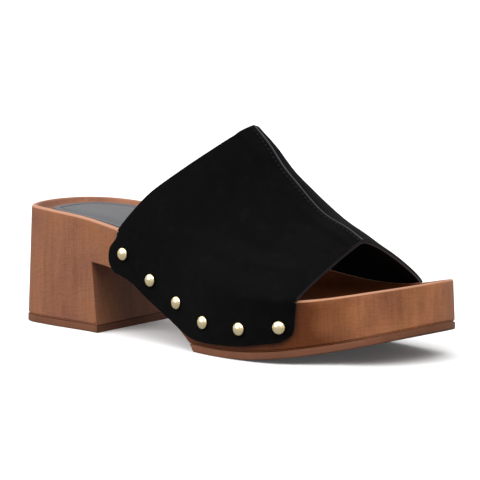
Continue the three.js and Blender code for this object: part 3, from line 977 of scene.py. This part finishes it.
def nail_heads(brass):
    """Six nails on each side, square to the wall."""
    points, outs = [], []
    for side in (-1, 1):
        x = lerp(base_rear, front_of(side), nails["along"])
        z = lerp(flange_top_at(x), hem_at(x), nails["down"])
        px, py, out = edge_at(side, x, wall_grow(x, z) + 2 * gap + leather)
        slope = (wall_grow(x, z - small_step) - wall_grow(x, z + small_step)) / (2 * small_step)
        axis = np.concatenate([out, slope[:, None]], 1)
        points.append(stack(px, py, z))
        outs.append(axis / np.linalg.norm(axis, axis=1)[:, None])
    heads = guide("brass_nails", np.concatenate(points), np.concatenate(outs), False)
    run_tree(heads, nail_tree(), {
        "Head": nail_head, "Rise": nail_rise, "Shank": nail_shank,
        "Length": nail_length, "Material": brass})
    shade(heads, 50)
    return heads


# Colours
def srgb(r, g, b):
    """Linear colour from the 0 to 255 values that a screen shows."""
    def one(v):
        v = v / 255
        return v / 12.92 if v <= 0.04045 else ((v + 0.055) / 1.055) ** 2.4
    return (one(r), one(g), one(b), 1)


def grey(value):
    return (value, value, value, 1)


# Stain from the heel to the toe, with the stretch of the sole that it runs over; its last tone, at
# the toe's tip, is a painted highlight where the tip faces the light
wood_heel = srgb(158, 109, 84)
wood_toe = srgb(102, 55, 26)
# Paler tone at the very tip of the toe: a painted highlight, not stain
wood_tip_highlight = srgb(192, 132, 94)
# Paler colour of the rounded rim: partly wear, partly a painted highlight along its top edge
wood_rim_wear_and_highlight = srgb(176, 126, 98)
stain_and_tip_highlight_tones = [
    (0.0, wood_heel), (0.38, wood_heel), (0.58, wood_toe), (0.86, wood_toe), (1.0, wood_tip_highlight)]
stain_start = -0.08
stain_end = 0.17
stain_drift = 0.09

# Clouds in the stain, and how far its streaks, its figure and its fine lines darken it
cloud_tones = [(0.34, srgb(222, 206, 206)), (0.5, srgb(246, 236, 226)), (0.66, srgb(255, 240, 208))]
streak_tones = [(0.3, grey(0.72)), (0.5, grey(0.95)), (0.68, grey(1.0))]
figure_tones = [(0.2, grey(0.62)), (0.5, grey(1.0)), (0.8, grey(0.82))]
line_tones = [(0.3, grey(0.7)), (0.6, grey(1.0))]
streak_share = 0.5
figure_share = 0.4
line_share = 0.6

nap_tones = [(0.3, srgb(3, 3, 4)), (0.55, srgb(6, 6, 7)), (0.75, srgb(13, 12, 14))]
speck_tones = [(0.35, grey(0.6)), (0.65, grey(1.0))]
speck_share = 0.6
suede_cut = srgb(84, 82, 87)
suede_lining = srgb(10, 9, 10)
rubber_tones = [(0.3, srgb(102, 60, 38)), (0.7, srgb(122, 75, 50))]
sock_tones = [(0.3, srgb(24, 25, 33)), (0.7, srgb(36, 38, 48))]
brass_tones = [(0.3, srgb(244, 220, 164)), (0.7, srgb(252, 238, 198))]
thread_tones = [(0.3, srgb(5, 5, 6)), (0.7, srgb(13, 13, 14))]


# Materials
def new_material(name, finish):
    material = bpy.data.materials.new(name)
    material.use_nodes = True
    tree = material.node_tree
    return material, tree, plug(tree, tree.nodes["Principled BSDF"], finish)


def object_coordinates(tree):
    return add(tree, "ShaderNodeTexCoord")["Object"]


def noise_at(tree, vector, scale, detail, roughness, stretch=(1, 1, 1)):
    mapping = add(tree, "ShaderNodeMapping", {"Vector": vector, "Scale": stretch})
    return add(tree, "ShaderNodeTexNoise", {
        "Vector": mapping["Vector"], "Scale": scale, "Detail": detail,
        "Roughness": roughness})["Fac"]


def ramp(tree, factor, tones):
    node = plug(tree, tree.nodes.new("ShaderNodeValToRGB"), {"Fac": factor})
    elements = node.color_ramp.elements
    elements.remove(elements[-1])
    for place, colour in tones[1:]:
        elements.new(place).color = colour
    elements[0].position, elements[0].color = tones[0]
    return node.outputs["Color"]


def mix_colour(tree, factor, a, b, blend="MIX"):
    """Mix of two colours: the factor is input 0, the colours are 6 and 7, the result output 2."""
    values = {0: factor, 6: a, 7: b}
    return add(tree, "ShaderNodeMix", values, data_type="RGBA", blend_type=blend)[2]


def darkened(tree, share, colour, factor, tones):
    return mix_colour(tree, share, colour, ramp(tree, factor, tones), "MULTIPLY")


def mask_of(tree, name):
    return add(tree, "ShaderNodeAttribute", attribute_name=name)["Fac"]


def bump_normal(tree, shader, height, strength, distance):
    node = add(tree, "ShaderNodeBump", {
        "Height": height, "Strength": strength, "Distance": distance})
    plug(tree, shader, {"Normal": node["Normal"]})


def rough_from(tree, shader, factor, low, high):
    node = add(tree, "ShaderNodeMapRange", {"Value": factor, "To Min": low, "To Max": high})
    plug(tree, shader, {"Roughness": node["Result"]})


def streak_group():
    """Streaks of a wooden block: upright on its sides, lengthwise on its top and underside."""
    tree, source, target = new_group(
        "wood streaks", "ShaderNodeTree", ["Vector"], ["Broad", "Fine", "Figure"])
    normal = add(tree, "ShaderNodeNewGeometry")["True Normal"]
    facing = add(tree, "ShaderNodeSeparateXYZ", {"Vector": normal})
    level = maths(tree, "ABSOLUTE", facing["Z"])
    upward = add(tree, "ShaderNodeMapRange", {"Value": level, "From Min": 0.55, "From Max": 0.85})

    def streaks(scale, detail):
        upright = noise_at(tree, source["Vector"], scale, detail, 0.6, (1, 1, 0.06))
        lengthwise = noise_at(tree, source["Vector"], scale, detail, 0.6, (0.06, 1, 1))
        values = {0: upward["Result"], 2: upright, 3: lengthwise}
        return add(tree, "ShaderNodeMix", values)[0]

    bent = add(tree, "ShaderNodeMapping", {
        "Vector": source["Vector"], "Scale": (0.7, 1, 1.6), "Rotation": (0.15, 0.35, 0)})
    rings = add(tree, "ShaderNodeTexWave", {
        "Vector": bent["Vector"], "Scale": 95.0, "Distortion": 14.0, "Detail": 3.0,
        "Detail Scale": 1.6, "Detail Roughness": 0.6}, wave_type="BANDS", bands_direction="Z")
    plug(tree, target, {
        "Broad": streaks(130, 3.0), "Fine": streaks(900, 4.0), "Figure": rings["Fac"]})
    return tree


def grain_group():
    """Fine relief of leather, suede or rubber, as a height and a soft colour mottle."""
    tree, source, target = new_group(
        "fine grain", "ShaderNodeTree", ["Vector", "Scale", "Mottle scale"], ["Height", "Mottle"])
    plug(tree, target, {
        "Height": noise_at(tree, source["Vector"], source["Scale"], 5.0, 0.7),
        "Mottle": noise_at(tree, source["Vector"], source["Mottle scale"], 4.0, 0.6)})
    return tree


wood_streaks = streak_group()
fine_grain = grain_group()


def grain_of(tree, scale, mottle_scale):
    return add(tree, "ShaderNodeGroup", {
        "Vector": object_coordinates(tree), "Scale": scale,
        "Mottle scale": mottle_scale}, node_tree=fine_grain)


def wood_material():
    material, tree, shader = new_material("stained wood", {
        "Coat Weight": 0.03, "Coat Roughness": 0.35, "Specular IOR Level": 0.16})
    where = object_coordinates(tree)
    streaks = add(tree, "ShaderNodeGroup", {"Vector": where}, node_tree=wood_streaks)
    place = add(tree, "ShaderNodeSeparateXYZ", {"Vector": where})
    drift = noise_at(tree, where, 22, 2.0, 0.55)
    forward = maths(tree, "MULTIPLY_ADD", drift, stain_drift, place["X"])
    along = add(tree, "ShaderNodeMapRange", {
        "Value": forward, "From Min": stain_start, "From Max": stain_end})
    # The ramp's last tone paints a highlight on the toe's tip
    stain_with_tip_highlight = ramp(tree, along["Result"], stain_and_tip_highlight_tones)
    cloud = noise_at(tree, where, 34, 3.0, 0.5, (1, 1, 0.7))
    tinted = darkened(tree, 1.0, stain_with_tip_highlight, cloud, cloud_tones)
    streaked = darkened(tree, streak_share, tinted, streaks["Broad"], streak_tones)
    figured = darkened(tree, figure_share, streaked, streaks["Figure"], figure_tones)
    lined = darkened(tree, line_share, figured, streaks["Fine"], line_tones)
    # Paler rim colour from the rim mask: wear and a painted highlight on the rounded top edge
    worn_and_highlighted_rim = mix_colour(tree, mask_of(tree, "rim"), lined, wood_rim_wear_and_highlight)
    plug(tree, shader, {"Base Color": worn_and_highlighted_rim})
    rough_from(tree, shader, streaks["Fine"], 0.42, 0.58)
    bump_normal(tree, shader, streaks["Fine"], 0.12, 0.0003)
    return material


def suede_material():
    material, tree, shader = new_material("black suede", {
        "Specular IOR Level": 0.05, "Sheen Weight": 0.012, "Sheen Roughness": 0.45})
    grain = grain_of(tree, 2400.0, 170.0)
    nap = ramp(tree, grain["Mottle"], nap_tones)
    face = darkened(tree, speck_share, nap, grain["Height"], speck_tones)
    edged = mix_colour(tree, mask_of(tree, "cut_edge"), face, suede_cut)
    lined = mix_colour(tree, mask_of(tree, "inner"), edged, suede_lining)
    plug(tree, shader, {"Base Color": lined})
    rough_from(tree, shader, grain["Mottle"], 0.8, 1.0)
    bump_normal(tree, shader, grain["Height"], 0.5, 0.0004)
    return material


def grained_material(name, finish, scales, colours, rough, relief=None,
                     rough_by="Mottle", relief_by="Height"):
    """Two close colours in a soft mottle, changing roughness and a fine relief."""
    material, tree, shader = new_material(name, finish)
    grain = grain_of(tree, *scales)
    plug(tree, shader, {"Base Color": ramp(tree, grain["Mottle"], colours)})
    rough_from(tree, shader, grain[rough_by], *rough)
    if relief:
        bump_normal(tree, shader, grain[relief_by], *relief)
    return material


# Into the frame: while it is shaped, x runs from a little behind the heel to the toe
def sole_offset(piece):
    """How far the shaped sole is from the frame's own sole."""
    low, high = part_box("wood_sole")
    points = np.array([v.co for v in piece.data.vertices])
    own = (points.min(0) + points.max(0)) / 2
    middle = (low + high) / 2
    return Vector((middle.x - own[0], middle.y - own[1], 0))


def settle(piece, offset, material, nodes):
    """Moves a piece's mesh into the frame, gives it its material if it has one, puts it under the
    root body and hides the frame's parts that it replaces.
    """
    for vertex in piece.data.vertices:
        vertex.co += offset
    piece.data.update()
    if material is not None:
        piece.data.materials.clear()
        piece.data.materials.append(material)
    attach(piece, "root")
    if nodes:
        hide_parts(*nodes)


def dress():
    """Builds every piece, and returns how far the shape had to move into the frame."""
    brass = grained_material(
        "polished brass", {"Metallic": 1.0}, (1200.0, 300.0), brass_tones,
        (0.06, 0.14), (0.05, 0.0003), relief_by="Mottle")
    thread = grained_material(
        "black thread", {"Specular IOR Level": 0.12}, (3000.0, 600.0), thread_tones,
        (0.55, 0.8), rough_by="Height")
    rubber = grained_material(
        "brown rubber", {"Specular IOR Level": 0.35}, (1800.0, 60.0), rubber_tones,
        (0.5, 0.7), (0.15, 0.0002))
    sock_leather = grained_material(
        "sock leather", {"Specular IOR Level": 0.4, "Coat Weight": 0.2, "Coat Roughness": 0.22},
        (1300.0, 120.0), sock_tones, (0.32, 0.46), (0.25, 0.0002))
    body = wood_body()
    offset = sole_offset(body)
    settle(body, offset, wood_material(), ["wood_sole"])
    settle(outsole(), offset, rubber, ["outsole"])
    settle(heel_lift(), offset, rubber, ["heel_lift"])
    sock = heel_sock()
    settle(sock, offset, sock_leather, ["heel_sock"])
    settle(upper_shell(), offset, suede_material(), ["upper"])
    settle(seam_stitches(thread), offset, None, [])
    nodes = [f"{side}_nail_{i}" for side in ("lateral", "medial") for i in range(1, 7)]
    settle(nail_heads(brass), offset, None, nodes)
    return offset


# Camera, measured from the shape before it moves into the frame
camera_azimuth = math.radians(41.55)
camera_elevation = math.radians(7.03)
camera_distance = 1.3003
camera_lens = 200.8
camera_sensor = 36
camera_target = Vector((0.13155, 0.0078, 0.04712))

# Floor and surroundings: how they light the shoe, how it mirrors them and how they are seen
floor_reach = 30
floor_glow = 0.05
floor_bounce = grey(0.3)
floor_seen = grey(1.0)
surroundings_fill = grey(0.42)
surroundings_mirrored = grey(0.75)
surroundings_seen = grey(1.0)

# Even light from above, and soft boxes with their place, size and power
overhead_strength = 2.4
overhead_spread = math.radians(110)
overhead_tilt = (math.radians(8), math.radians(-6), 0)
lit_point = Vector((0, 0, 0.04))
soft_boxes = [
    ("key", (-0.5, -1.2, 0.8), (1.1, 1.0), 11),
    ("fill", (1.0, -0.6, 1.1), (0.9, 0.9), 8)]


def make_camera(offset):
    data = bpy.data.cameras.new("camera")
    data.lens = camera_lens
    data.sensor_width = camera_sensor
    camera = new_object("camera", data)
    flat = math.cos(camera_elevation)
    back = Vector((math.sin(camera_azimuth) * flat, -math.cos(camera_azimuth) * flat,
                   math.sin(camera_elevation)))
    camera.location = camera_target + offset + back * camera_distance
    camera.rotation_euler = (math.pi / 2 - camera_elevation, 0, camera_azimuth)
    bpy.context.scene.camera = camera


def make_floor():
    """Pale floor that throws less light up at the shoe than it shows to the camera."""
    mesh = bpy.data.meshes.new("floor")
    around = ((-1, -1), (1, -1), (1, 1), (-1, 1))
    corners = [(x * floor_reach, y * floor_reach, 0) for x, y in around]
    mesh.from_pydata(corners, [], [(0, 1, 2, 3)])
    material, tree, shader = new_material("pale floor", {
        "Roughness": 0.9, "Specular IOR Level": 0.1, "Emission Color": grey(1.0)})
    seen = add(tree, "ShaderNodeLightPath")["Is Camera Ray"]
    plug(tree, shader, {
        "Base Color": mix_colour(tree, seen, floor_bounce, floor_seen),
        "Emission Strength": maths(tree, "MULTIPLY", seen, floor_glow)})
    mesh.materials.append(material)
    new_object("floor", mesh)


def make_light():
    """White surroundings, dimmer as a light than they look, soft boxes and an even top light."""
    world = bpy.data.worlds.new("studio")
    bpy.context.scene.world = world
    world.use_nodes = True
    tree = world.node_tree
    rays = add(tree, "ShaderNodeLightPath")
    mirrored = mix_colour(tree, rays["Is Glossy Ray"], surroundings_fill, surroundings_mirrored)
    tone = mix_colour(tree, rays["Is Camera Ray"], mirrored, surroundings_seen)
    plug(tree, tree.nodes["Background"], {"Color": tone})
    for name, place, size, power in soft_boxes:
        data = bpy.data.lights.new(name, "AREA")
        data.shape = "RECTANGLE"
        data.size, data.size_y = size
        data.energy = power
        box = new_object(name, data)
        box.location = place
        box.rotation_euler = (lit_point - Vector(place)).to_track_quat("-Z", "Y").to_euler()
    data = bpy.data.lights.new("overhead", "SUN")
    data.energy = overhead_strength
    data.angle = overhead_spread
    new_object("overhead", data).rotation_euler = overhead_tilt


bpy.context.scene.view_settings.view_transform = "Standard"
shape_offset = dress()
make_floor()
make_light()
make_camera(shape_offset)
